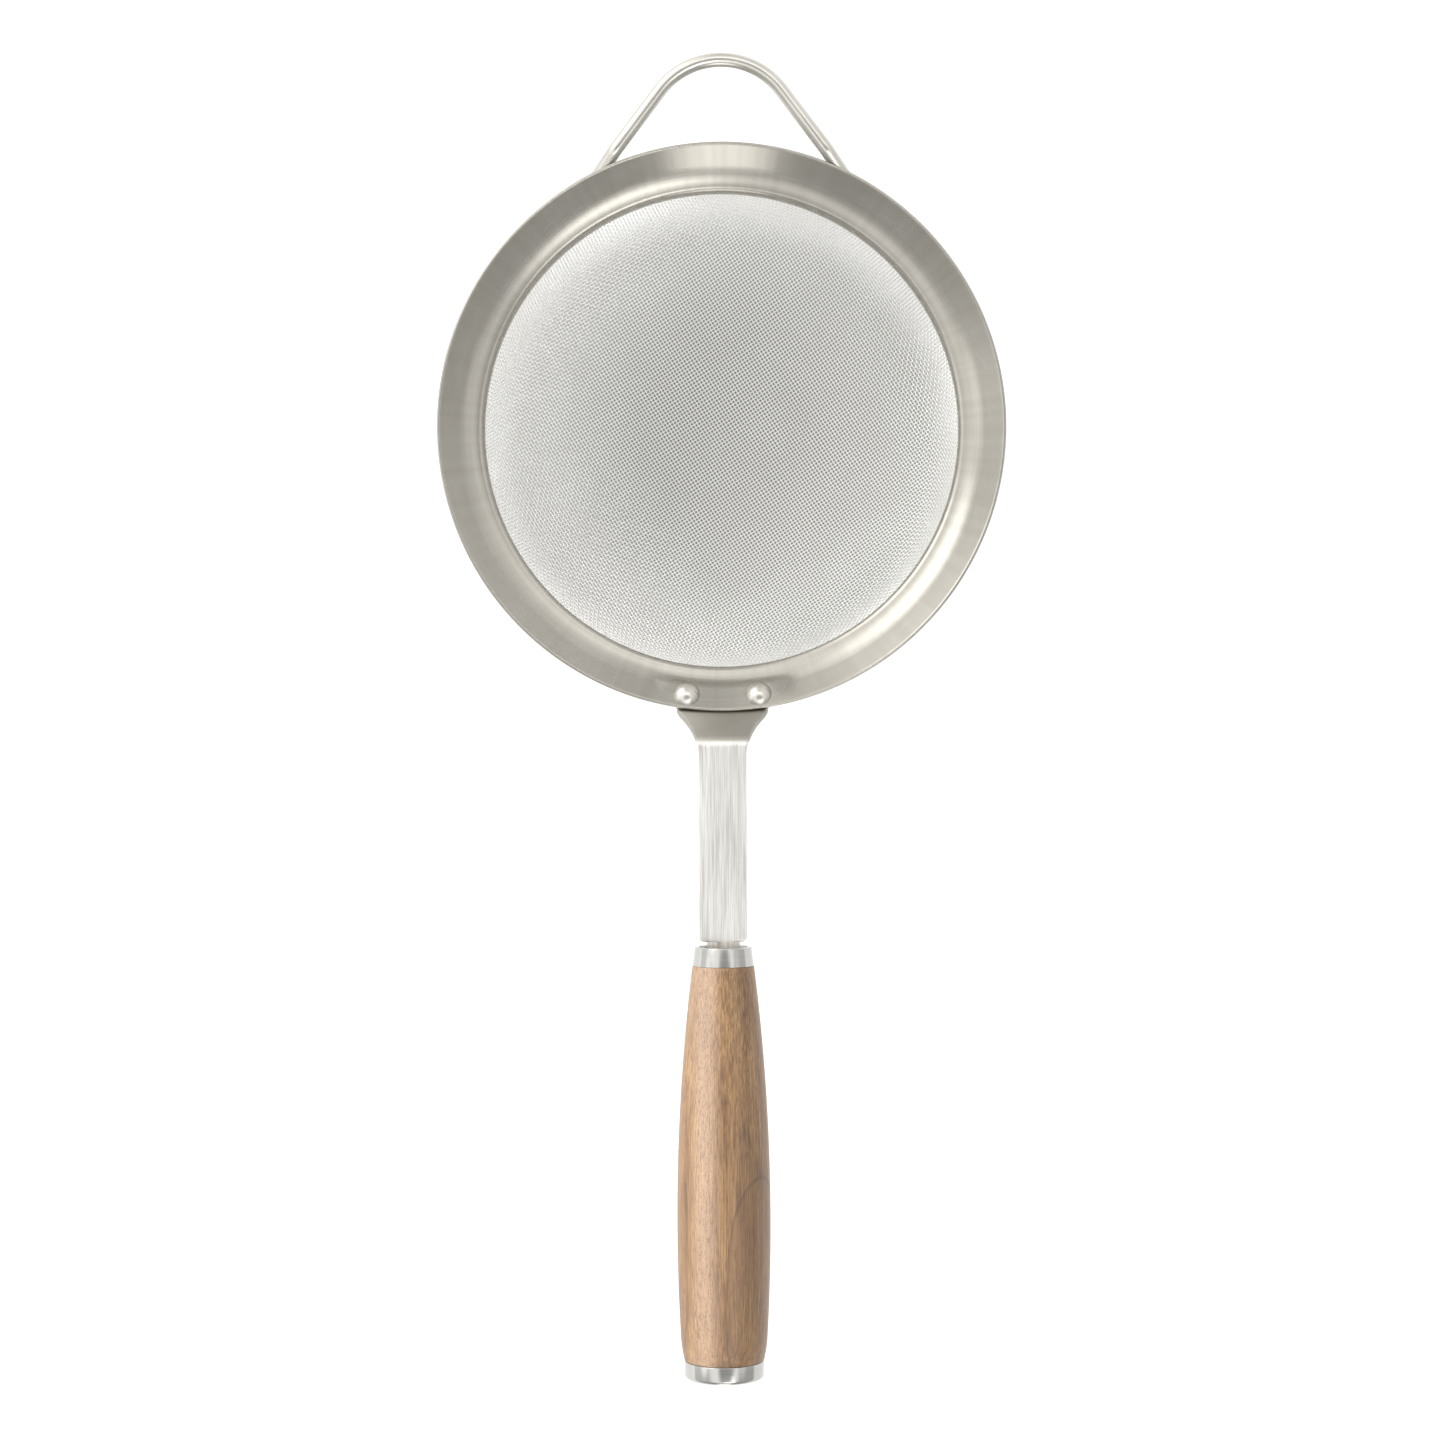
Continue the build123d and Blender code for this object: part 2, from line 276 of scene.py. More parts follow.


# Stainless plate, brushed along its length with long streaks; its bar is drawn in a whiter tone, and its
# head, from the bend to the bowl, in a darker even tone.
def brushedPlate():
    material, tree = newMaterial("stainlessBrushedLong")
    place = addNode(tree, "TexCoord")
    across, along = 1 / (plateMarks["streakWidth"] * mm), 1 / (plateMarks["streakLength"] * mm)
    long = addNode(tree, "Mapping", {"Scale": (across, along, across)}, {0: place.outputs["Object"]})
    streaks = addNode(tree, "TexNoise", {"Scale": 1.0, "Detail": 3.0, "Roughness": 0.6}, {0: long.outputs[0]})
    across, along = 1 / (plateMarks["bandWidth"] * mm), 1 / (plateMarks["bandLength"] * mm)
    broad = addNode(tree, "Mapping", {"Scale": (across, along, across)}, {0: place.outputs["Object"]})
    bands = addNode(tree, "TexNoise", {"Scale": 1.0, "Detail": 1.0}, {0: broad.outputs[0]})
    both = addNode(tree, "Mix", {"data_type": "FLOAT", 0: 0.2}, {2: streaks.outputs[0], 3: bands.outputs[0]})
    parts = addNode(tree, "SeparateXYZ", links={0: place.outputs["Object"]})
    low, high = [bowlMiddle[1] + (step - bendRadius) * mm for step in plateMarks["headToneRun"]]
    # this mask is 1 from the bend to the bowl, where the plate takes a darker tone than the bar
    head = addNode(
        tree, "MapRange", {"interpolation_type": "SMOOTHSTEP", 1: low, 2: high}, {0: parts.outputs[1]},
    )
    stops = [(0.35, linear("#cfccc5")), (0.62, linear("#fbfaf5"))]
    bar = addNode(tree, "ValToRGB", {"stops": stops}, {0: both.outputs[0]})
    tone = addNode(
        tree, "Mix", {"data_type": "RGBA", 7: linear("#aca89f")}, {0: head.outputs[0], 6: bar.outputs[0]},
    )
    gloss = addNode(tree, "MapRange", {3: 0.42, 4: 0.56}, {0: bands.outputs[0]})
    finishSteel(tree, tone, gloss, streaks, plateMarks["streakDepth"], 0.85)
    return material


mopping = {"skinSize": 1.4286, "skinDepth": 0.004, "hazeSize": 6.25}


# Stainless wire and rivets, polished on a mop: softly clear reflections and a slightly uneven skin.
def polishedSteel():
    material, tree = newMaterial("stainlessPolished")
    place = addNode(tree, "TexCoord")
    skinScale, hazeScale = 1 / (mopping["skinSize"] * mm), 1 / (mopping["hazeSize"] * mm)
    skin = addNode(tree, "TexNoise", {"Scale": skinScale, "Detail": 3.0}, {0: place.outputs["Object"]})
    haze = addNode(tree, "TexNoise", {"Scale": hazeScale, "Detail": 2.0}, {0: place.outputs["Object"]})
    gloss = addNode(tree, "MapRange", {3: 0.22, 4: 0.34}, {0: haze.outputs[0]})
    low, high = linear("#c0bdb5"), linear("#d6d3cb")
    tone = addNode(tree, "Mix", {"data_type": "RGBA", 6: low, 7: high}, {0: haze.outputs[0]})
    finishSteel(tree, tone, gloss, skin, mopping["skinDepth"])
    return material


turning = {"markWidth": 0.14, "markLength": 16.667, "markDepth": 0.0012}


# Ferrule and cap, stainless turned on a lathe and polished: bright bands along the handle and hair-fine
# rings round it.
def turnedSteel():
    material, tree = newMaterial("stainlessTurned")
    place = addNode(tree, "TexCoord")
    axis = (0, 0, -(bowlMiddle[2] + gripHeight * mm))
    centred = addNode(tree, "Mapping", {"Location": axis}, {0: place.outputs["Object"]})
    flat = addNode(tree, "VectorMath", {"operation": "MULTIPLY", 1: (1, 0, 1)}, {0: centred.outputs[0]})
    radius = addNode(tree, "VectorMath", {"operation": "LENGTH"}, {0: flat.outputs[0]})
    parts = addNode(tree, "SeparateXYZ", links={0: centred.outputs[0]})
    section = addNode(tree, "Math", {"operation": "ADD"}, {0: radius.outputs["Value"], 1: parts.outputs[1]})
    perMetre = 1 / (turning["markWidth"] * mm)
    fine = addNode(tree, "Math", {"operation": "MULTIPLY", 1: perMetre}, {0: section.outputs[0]})
    perMetre = 1 / (turning["markLength"] * mm)
    around = addNode(tree, "VectorMath", {"operation": "SCALE", "Scale": perMetre}, {0: flat.outputs[0]})
    bands = addNode(tree, "CombineXYZ", links={1: fine.outputs[0]})
    rings = addNode(tree, "VectorMath", {"operation": "ADD"}, {0: around.outputs[0], 1: bands.outputs[0]})
    marks = addNode(tree, "TexNoise", {"Scale": 1.0, "Detail": 2.0}, {0: rings.outputs[0]})
    low, high = linear("#b0afab"), linear("#c1c0bc")
    tone = addNode(tree, "Mix", {"data_type": "RGBA", 6: low, 7: high}, {0: marks.outputs[0]})
    gloss = addNode(tree, "MapRange", {3: 0.1, 4: 0.2}, {0: marks.outputs[0]})
    finishSteel(tree, tone, gloss, marks, turning["markDepth"], 0.8)
    return material


drawing = {"hazeSize": 11.111}


# Stainless wire cloth, drawn and annealed: pale, softly shiny wires, a little uneven from place to place.
def drawnWire():
    material, tree = newMaterial("stainlessDrawnWire")
    place = addNode(tree, "TexCoord")
    perMetre = 1 / (drawing["hazeSize"] * mm)
    haze = addNode(tree, "TexNoise", {"Scale": perMetre, "Detail": 2.0}, {0: place.outputs["Object"]})
    low, high = linear("#eeede9"), linear("#fbfaf7")
    tone = addNode(tree, "Mix", {"data_type": "RGBA", 6: low, 7: high}, {0: haze.outputs[0]})
    gloss = addNode(tree, "MapRange", {3: 0.25, 4: 0.4}, {0: haze.outputs[0]})
    shader = addNode(
        tree, "BsdfPrincipled", {"Metallic": 1.0},
        {"Base Color": tone.outputs[2], "Roughness": gloss.outputs[0]},
    )
    addNode(tree, "OutputMaterial", links={"Surface": shader.outputs[0]})
    return material


# sizes in mm; grains are how wide and how long each figure of the wood is, and the noise's detail
wood = {
    "grains": {
        "fibres": (0.24, 13.0, 2.0),  # single fibres are far finer, drawn as the bundles that the eye sees
        "broad": (3.2, 45.0, 2.0),
        "pores": (0.12, 2.2, 0.0),
        "ripples": (0.32, 0.55, 2.0),
        "wander": (5.0, 22.0, 1.0),
    },
    "archAt": 44.1,  # from the front of the wood to the top of the arched growth line
    "archRun": 10.0,
    "archRise": 3.6,
    "lineLevel": 9.9,
    "lineHalf": (0.05, 0.3),
    "coreRun": (-2.5, 1.0),
    "stripAt": 3.9,  # left of the middle
    "stripHalf": (0.8, 3.8),
    "relief": 0.045,
}


# Black walnut, turned, sanded and oiled: golden-brown heartwood in fine straight fibres, short dark pores,
# one dark growth line that arches over and runs on to the end, and a strip of rippled grain beside it.
# a painted sheen lies over the rippled strip: a paler colour that stands in for the highlight left of the
# grip's middle
def oiledWalnut():
    material, tree = newMaterial("walnutOiled")
    source = addNode(tree, "TexCoord")
    front = (bowlMiddle[1] / mm - nodeSpan("front_ferrule")[1], bowlMiddle[2] / mm + gripHeight)
    place = addNode(
        tree, "Mapping", {"Location": (0, -front[0], -front[1]), "Scale": (1 / mm, 1 / mm, 1 / mm)},
        {0: source.outputs["Object"]},
    )
    parts = addNode(tree, "SeparateXYZ", links={0: place.outputs[0]})
    grains = {}
    for name, (width, length, detail) in wood["grains"].items():
        drawn = addNode(tree, "Mapping", {"Scale": (1 / width, 1 / length, 1 / width)}, {0: place.outputs[0]})
        noise = {"Scale": 1.0, "Detail": detail, "Roughness": 0.6}
        grains[name] = addNode(tree, "TexNoise", noise, {0: drawn.outputs[0]}).outputs[0]
    # level of the growth rings: a slanted plane that sinks away towards the front as e to the distance
    perRun, offset = 1 / wood["archRun"], wood["archAt"] / wood["archRun"]
    behind = addNode(tree, "Math", {"operation": "MULTIPLY_ADD", 1: perRun, 2: offset}, {0: parts.outputs[1]})
    kept = addNode(tree, "Math", {"operation": "MINIMUM", 1: 2.5}, {0: behind.outputs[0]})
    fall = addNode(tree, "Math", {"operation": "EXPONENT"}, {0: kept.outputs[0]})
    rise = wood["archRise"]
    sunk = addNode(tree, "Math", {"operation": "MULTIPLY_ADD", 1: -rise, 2: rise}, {0: fall.outputs[0]})
    slant = addNode(tree, "VectorMath", {"operation": "DOT_PRODUCT", 1: (0.8, 0, 0.6)}, {0: place.outputs[0]})
    level = addNode(tree, "Math", {"operation": "ADD"}, {0: slant.outputs["Value"], 1: sunk.outputs[0]})
    level = addNode(tree, "Math", {"operation": "ADD"}, {0: level.outputs[0], 1: grains["wander"]})
    off = addNode(tree, "Math", {"operation": "SUBTRACT", 1: wood["lineLevel"]}, {0: level.outputs[0]})
    size = addNode(tree, "Math", {"operation": "ABSOLUTE"}, {0: off.outputs[0]})
    near, far = wood["lineHalf"]
    line = addNode(tree, "MapRange", {1: near, 2: far, 3: 0.45, 4: 0.0}, {0: size.outputs[0]})
    low, high = wood["coreRun"]
    core = addNode(tree, "MapRange", {1: low, 2: high, 3: 0.0, 4: 0.3}, {0: off.outputs[0]})
    # the strip of rippled grain, left of the middle, which also carries the painted sheen
    near, far = wood["stripHalf"]
    strip = addNode(tree, "Math", {"operation": "ADD", 1: wood["stripAt"]}, {0: parts.outputs[0]})
    strip = addNode(tree, "Math", {"operation": "ABSOLUTE"}, {0: strip.outputs[0]})
    strip = addNode(tree, "MapRange", {1: near, 2: far, 3: 1.0, 4: 0.0}, {0: strip.outputs[0]})
    flecks = addNode(tree, "MapRange", {1: 0.5, 2: 0.66, 3: 0.0, 4: 0.42}, {0: grains["ripples"]})
    flecks = addNode(tree, "Math", {"operation": "MULTIPLY"}, {0: flecks.outputs[0], 1: strip.outputs[0]})
    # fibres and broad figure give the brown, and the painted sheen, core, flecks, line and pores lie over it
    figure = addNode(tree, "Mix", {"data_type": "FLOAT", 0: 0.38}, {2: grains["fibres"], 3: grains["broad"]})
    tone = addNode(
        tree, "ValToRGB",
        {"stops": [(0.34, linear("#553b26")), (0.5, linear("#805f3b")), (0.66, linear("#a07f55"))]},
        {0: figure.outputs[0]},
    )
    colour = tone.outputs[0]
    pores = addNode(tree, "MapRange", {1: 0.3, 2: 0.4, 3: 0.5, 4: 0.0}, {0: grains["pores"]})
    # the first layer is a painted sheen: a paler colour laid along the strip, standing in for the highlight
    # there
    paintedSheen = addNode(tree, "Math", {"operation": "MULTIPLY", 1: 0.45}, {0: strip.outputs[0]})
    layers = [
        (paintedSheen, "#b8a08c"), (core, "#70533b"), (flecks, "#6c513c"), (line, "#452e1f"), (pores, "#4a3323"),
    ]
    for share, hexColour in layers:
        colour = addNode(
            tree, "Mix", {"data_type": "RGBA", 7: linear(hexColour)}, {0: share.outputs[0], 6: colour},
        ).outputs[2]
    gloss = addNode(tree, "MapRange", {3: 0.34, 4: 0.5}, {0: grains["fibres"]})
    shader = addNode(
        tree, "BsdfPrincipled", {"IOR": 1.5, "Specular IOR Level": 0.8},
        {"Base Color": colour, "Roughness": gloss.outputs[0]},
    )
    height = addNode(tree, "Mix", {"data_type": "FLOAT", 0: 0.5}, {2: grains["pores"], 3: grains["fibres"]})
    finishSurface(tree, shader, height.outputs[0], wood["relief"])
    return material


sheetSteel = brushedSheet()
plainSteel = rolledStrip()
polished = polishedSteel()
turnedBright = turnedSteel()
wireSteel = drawnWire()
walnut = oiledWalnut()
print("materials made")

# the pressed collar of the bowl; sizes in mm, angles in degrees
rim = {
    "sheet": 0.8,
    "flangeAngle": 44.0,
    "flangePlan": 5.4,  # from the lip to the corner of flange and ledge
    "flangeBend": 9.0,
    "ledgeAngle": 12.0,
    "collarPlan": 9.5,  # from the outside of the lip to the inside of the neck
    "neckBend": 0.85,
    "padTilt": 34.0,  # of the seat under the rivets
    "padFlat": 2.7,
    "padReach": 9.0,
    "padFade": (2.6, 4.6),  # it eases out over this run from the neck
    "rivetInset": 3.0,
    "rivetPitch": 15.2,
    "grain": 0.22,  # spacing of the mesh along the section
    "closeTurn": 15.0,  # the mesh is closer within this turn of the handle, in this many columns
    "closeColumns": 130,
    "wideColumns": 330,
}
lipMiddle = rimRadius - rim["sheet"] / 2
slope = np.tan(radians(rim["flangeAngle"]))
cornerRadius = lipMiddle - rim["flangePlan"]
cornerHeight = -rim["sheet"] / 2 - rim["flangePlan"] * slope
neckMiddle = rimRadius - rim["collarPlan"] + rim["sheet"] / 2
ledgeHeight = cornerHeight - (cornerRadius - neckMiddle) * np.tan(radians(rim["ledgeAngle"]))
rivetRadius = rimRadius - rim["rivetInset"]
rivetTurn = np.arcsin(rim["rivetPitch"] / 2 / rivetRadius)
rivetWays = [np.array([side * np.sin(rivetTurn), -np.cos(rivetTurn)]) for side in (-1, 1)]
rimSection = bentPath(
    [
        (lipMiddle, -rim["sheet"] / 2),
        (cornerRadius, cornerHeight),
        (neckMiddle, ledgeHeight),
        (neckMiddle, -rimDepth + rim["sheet"] / 2),
    ],
    [rim["flangeBend"], rim["neckBend"]], rim["grain"],
)
shoulderSection = rimSection[rimSection[:, 0] > neckMiddle + 0.01][::-1]


def padLift(x, y):
    # the flange is pressed to a gentler cone, of slope padTilt from the same lip, in a long seat round
    # both rivets, and eases back to its own slope further out and towards the neck
    radius = np.hypot(x, y)
    gap = lipMiddle - radius
    flange = np.interp(radius, shoulderSection[:, 0], shoulderSection[:, 1])
    flange = np.maximum(flange, -rim["sheet"] / 2 - gap * slope)
    seat = -rim["sheet"] / 2 - gap * np.tan(radians(rim["padTilt"]))
    side, ahead = rivetRadius * abs(rivetWays[0])
    away = np.hypot(x - np.clip(x, -side, side), y + ahead)
    near, far = rim["padFade"]
    share = 1 - smooth(rim["padFlat"], rim["padReach"], away)
    return share * np.clip(seat - flange, 0, None) * smooth(neckMiddle + near, neckMiddle + far, radius)


def makeRim():
    # the section turned round the bowl's axis, raised by the seat, and thickened to both sides along its
    # normal; its columns stand closer near the rivets
    near, far = np.radians(-90 - rim["closeTurn"]), np.radians(-90 + rim["closeTurn"])
    angle = np.concatenate([
        np.linspace(near, far, rim["closeColumns"], endpoint=False),
        np.linspace(far, near + 2 * np.pi, rim["wideColumns"], endpoint=False),
    ])
    middle = np.stack([
        rimSection[:, :1] * np.cos(angle), rimSection[:, :1] * np.sin(angle), rimSection[:, 1:] + 0 * angle,
    ], axis=-1)
    middle[..., 2] += padLift(middle[..., 0], middle[..., 1])
    inward = unit(np.gradient(middle, axis=0))
    step = np.roll(middle, -1, axis=1) - np.roll(middle, 1, axis=1)
    normal = unit(np.cross(inward, step))
    half = rim["sheet"] / 2
    # the section's outline: upper face, round edge of the neck, lower face, round edge of the lip
    bow = np.linspace(0, np.pi, 9)[1:-1, None, None]
    neckEdge = middle[-1] + half * (np.cos(bow) * normal[-1] + np.sin(bow) * inward[-1])
    lipEdge = middle[0] + half * (-np.cos(bow) * normal[0] - np.sin(bow) * inward[0])
    points = np.concatenate([middle + half * normal, neckEdge, (middle - half * normal)[::-1], lipEdge])
    rows, columns = points.shape[:2]
    faces, uv = gridFaces(rows, columns, closeRows=True)
    makePiece("bowlRim", points.reshape(-1, 3), [faces], uv, sheetSteel, ["bowl_rim"])


makeRim()
print("rim made")

# the woven basket
weave = {
    "wire": 0.25,
    "pitch": 0.75,
    "turn": 32.0,  # of the cloth on the bowl
    "sides": 5,
    "lap": 1.9,  # of the upright edge on the neck
    "knuckle": 16.0,
    "groups": 3,
    "settling": 24,
}
basketLow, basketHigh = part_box("mesh_basket")
clothMiddle = basketHigh.x / mm - weave["wire"]
clothTop = (basketHigh.z - bowlMiddle[2]) / mm
floorDrop = (basketHigh.z - basketLow.z) / mm - weave["wire"] - weave["lap"]  # of the middle surface
knuckleMiddle = clothMiddle - weave["knuckle"]
knuckleHeight = clothTop - weave["lap"]
floorRadius = (knuckleMiddle**2 + floorDrop**2 - weave["knuckle"] ** 2) / (2 * (floorDrop - weave["knuckle"]))
floorMiddle = knuckleHeight - floorDrop + floorRadius
floorTurn = np.arctan2(knuckleMiddle, floorMiddle - knuckleHeight)


def onBasket(points):
    # the nearest place on the basket's middle surface, which is a round floor, a tighter knuckle and an
    # upright collar, each met along its own radius, and the outward direction there
    radius, height = np.hypot(points[..., 0], points[..., 1]), points[..., 2]
    onFloor = np.arctan2(radius, floorMiddle - height) < floorTurn
    onCollar = height > knuckleHeight
    middleRadius = np.where(onFloor, 0, knuckleMiddle)
    middleHeight = np.where(onFloor, floorMiddle, np.where(onCollar, height, knuckleHeight))
    away = np.stack([radius - middleRadius, height - middleHeight], axis=-1)
    away = unit(away + 1e-12)
    size = np.where(onFloor, floorRadius, weave["knuckle"])
    newRadius = middleRadius + size * away[..., 0]
    newHeight = middleHeight + size * away[..., 1]
    way = points[..., :2] / np.maximum(radius, 1e-9)[..., None]
    place = np.concatenate([way * newRadius[..., None], newHeight[..., None]], axis=-1)
    outward = np.concatenate([way * away[..., :1], away[..., 1:]], axis=-1)
    return place, outward


def clothNet():
    # square cloth pressed on to the bowl: every mesh keeps its four equal sides and only their angle
    # changes; each crossing lies one pitch from the crossings before it on its two wires
    pitch = weave["pitch"]
    floorArc, knuckleArc = floorRadius * floorTurn, weave["knuckle"] * (np.pi / 2 - floorTurn)
    count = int((floorArc + knuckleArc + weave["lap"]) / pitch) + 3
    run = np.arange(count) * pitch
    turn = floorTurn + np.clip(run - floorArc, 0, knuckleArc) / weave["knuckle"]
    radius = np.where(
        run < floorArc, floorRadius * np.sin(run / floorRadius),
        knuckleMiddle + weave["knuckle"] * np.sin(turn),
    )
    height = np.where(
        run < floorArc, floorMiddle - floorRadius * np.cos(run / floorRadius),
        knuckleHeight - weave["knuckle"] * np.cos(turn) + np.clip(run - floorArc - knuckleArc, 0, None),
    )
    net = np.zeros((count, count, 3))
    net[:, 0] = np.stack([radius, 0 * run, height], axis=1)
    net[0, :] = np.stack([0 * run, radius, height], axis=1)
    for diagonal in range(2, 2 * count - 1):
        i = np.arange(max(1, diagonal - count + 1), min(diagonal, count))
        j = diagonal - i
        left, below = net[i - 1, j], net[i, j - 1]
        place = left + below - net[i - 1, j - 1]
        for _ in range(weave["settling"]):
            for other in (left, below):
                gap = place - other
                place = place + 0.5 * gap * (pitch / np.linalg.norm(gap, axis=1, keepdims=True) - 1)
            place = onBasket(place)[0]
        net[i, j] = place
    # four quarters, each turned by a right angle from the last
    whole = np.zeros((2 * count - 1, 2 * count - 1, 3))
    i, j = np.meshgrid(np.arange(count), np.arange(count), indexing="ij")
    quarter = net
    for _ in range(4):
        whole[count - 1 + i, count - 1 + j] = quarter
        i, j = -j, i
        quarter = np.stack([-quarter[..., 1], quarter[..., 0], quarter[..., 2]], axis=-1)
    turn = radians(weave["turn"])
    x, y = whole[..., 0], whole[..., 1]
    across, ahead = x * np.cos(turn) - y * np.sin(turn), x * np.sin(turn) + y * np.cos(turn)
    return np.stack([across, ahead, whole[..., 2]], axis=-1)


def makeWires(net, name, side):
    # one family of wires: each passes half a wire's thickness over and under the cloth's middle by turns,
    # crossing the middle between; its round section is carried along with the cloth's own direction up
    count, length = net.shape[:2]
    between = onBasket((net[:, 1:] + net[:, :-1]) / 2)[0]
    path = np.zeros((count, 2 * length - 1, 3))
    path[:, ::2], path[:, 1::2] = net, between
    place, outward = onBasket(path)
    i, j = np.meshgrid(np.arange(count), np.arange(length), indexing="ij")
    wave = np.zeros(path.shape[:2])
    wave[:, ::2] = side * np.where((i + j) % 2, 1, -1) * weave["wire"] / 2
    centre = place + outward * wave[..., None]
    forward = unit(np.gradient(centre, axis=1))
    up = unit(outward - forward * np.sum(outward * forward, axis=-1, keepdims=True))
    beside = np.cross(forward, up)
    sides = weave["sides"]
    angle = np.arange(sides) * 2 * np.pi / sides
    ring = np.cos(angle)[:, None] * up[:, :, None] + np.sin(angle)[:, None] * beside[:, :, None]
    points = (centre[:, :, None] + ring * weave["wire"] / 2).reshape(-1, 3)
    inside = place[..., 2] < clothTop
    pieceOf = inside[:, :-1] & inside[:, 1:]
    # wires are shared out into bands of about equal length
    total = np.cumsum(pieceOf.sum(axis=1))
    band = np.minimum((total - 1) * weave["groups"] // total[-1], weave["groups"] - 1)
    for group in range(weave["groups"]):
        wire, at = np.nonzero(pieceOf & (band == group)[:, None])
        k = np.arange(sides)[None, :]
        wire, at = wire[:, None], at[:, None]
        corners = [(at, k), (at, k + 1), (at + 1, k + 1), (at + 1, k)]
        faces = [(wire * path.shape[1] + a) * sides + b % sides for a, b in corners]
        faces = np.stack(faces, axis=-1).reshape(-1, 4)
        # each wire has its own strip of the UV map
        rows = wire - wire.min()
        height = rows.max() + 1
        spots = [(a / path.shape[1] + 0 * b, (rows + 0.8 * b / sides) / height + 0 * a) for a, b in corners]
        uv = np.stack([np.stack(spot, axis=-1) for spot in spots], axis=-2).reshape(-1, 2)
        padded = np.pad(pieceOf & (band == group)[:, None], ((0, 0), (1, 1)))
        starts = np.argwhere(padded[:, 1:] & ~padded[:, :-1])
        ends = np.argwhere(~padded[:, 1:] & padded[:, :-1])
        caps = []
        for cut, order in ((starts, np.arange(sides)[::-1]), (ends, np.arange(sides))):
            caps.append((cut[:, :1] * path.shape[1] + cut[:, 1:]) * sides + order[None, :])
        caps = np.concatenate(caps)
        used, places = np.unique(np.concatenate([faces.ravel(), caps.ravel()]), return_inverse=True)
        faces, caps = places[:faces.size].reshape(-1, 4), places[faces.size:].reshape(-1, sides)
        uv = np.concatenate([uv, np.zeros((caps.size, 2))])
        makePiece(
            f"{name}_{group + 1}", points[used], [faces, caps], uv, wireSteel, ["mesh_basket"],
            sharp=180,
        )


net = clothNet()
makeWires(net, "meshWarp", 1)
makeWires(np.swapaxes(net, 0, 1).copy(), "meshWeft", -1)
print("basket woven")

# the flat strap from the bowl to the grip
strap = {
    "plate": 2.0,
    "width": 10.0,
    "bend": 2.6,
    "headWidth": 24.0,
    "headCorner": 4.0,
    "headTuck": 2.4,
    "headBlend": 0.6,
    "headFlare": 11.4,
    "flareRun": 9.5,
    "barRun": 48.2,
    "shoulderCorner": 1.0,
    "tangWidth": 7.0,
    "edge": 0.22,
    "crown": 0.35,  # the upper face is this much lower at its edges
    "seatGap": 0.03,
}
armStart, armEnd = nodeSpan("handle_arm")
seatDown = rim["sheet"] / 2 + strap["seatGap"] + strap["plate"] / 2
seatRadius = lipMiddle + seatDown * np.sin(radians(rim["flangeAngle"]))
seatHeight = -rim["sheet"] / 2 - seatDown * np.cos(radians(rim["flangeAngle"]))
bendRadius = seatRadius + (gripHeight - seatHeight) / slope
plateSteel = brushedPlate()
pathStart = 40.0  # well inside the head's end
armSection = bentPath(
    [
        (pathStart, seatHeight - (seatRadius - pathStart) * slope),
        (bendRadius, gripHeight),
        (armEnd + 5, gripHeight),
    ],
    [strap["bend"]], 0.1,
)


def armMiddle(x, y):
    # height of the strap's middle: a cone under the flange, a bend, then level, with the rivets' flats
    return np.interp(np.hypot(x, y), armSection[:, 0], armSection[:, 1]) + padLift(x, y)


def armHalfWidth(run):
    # half the strap's width at a distance from the bowl's axis
    head, bar, tang = strap["headWidth"] / 2, strap["width"] / 2, strap["tangWidth"] / 2
    shoulder = rimRadius + strap["barRun"]
    flareEnd = rimRadius + strap["flareRun"]
    flare = strap["headFlare"]
    side = np.where(
        run < flareEnd,
        bar + flare - np.sqrt(np.clip(flare**2 - (flareEnd - run) ** 2, 0, None)),
        bar,
    )
    # the head narrows a little towards the lip, and the two limits are blended where they cross
    tucked = head - strap["headTuck"] * smooth(rimRadius - 6, rimRadius - 0.7, run)
    blend = strap["headBlend"]
    width = -blend * np.log(np.exp(-tucked / blend) + np.exp(-side / blend))
    corner = strap["headCorner"]
    into = np.clip(run - armStart, 0, corner)
    width = width - corner + np.sqrt(corner**2 - (corner - into) ** 2)
    corner = strap["shoulderCorner"]
    into = np.clip(run - (shoulder - corner), 0, corner)
    width = width - corner + np.sqrt(corner**2 - into**2)
    return np.where(run > shoulder + 1e-6, tang, width)


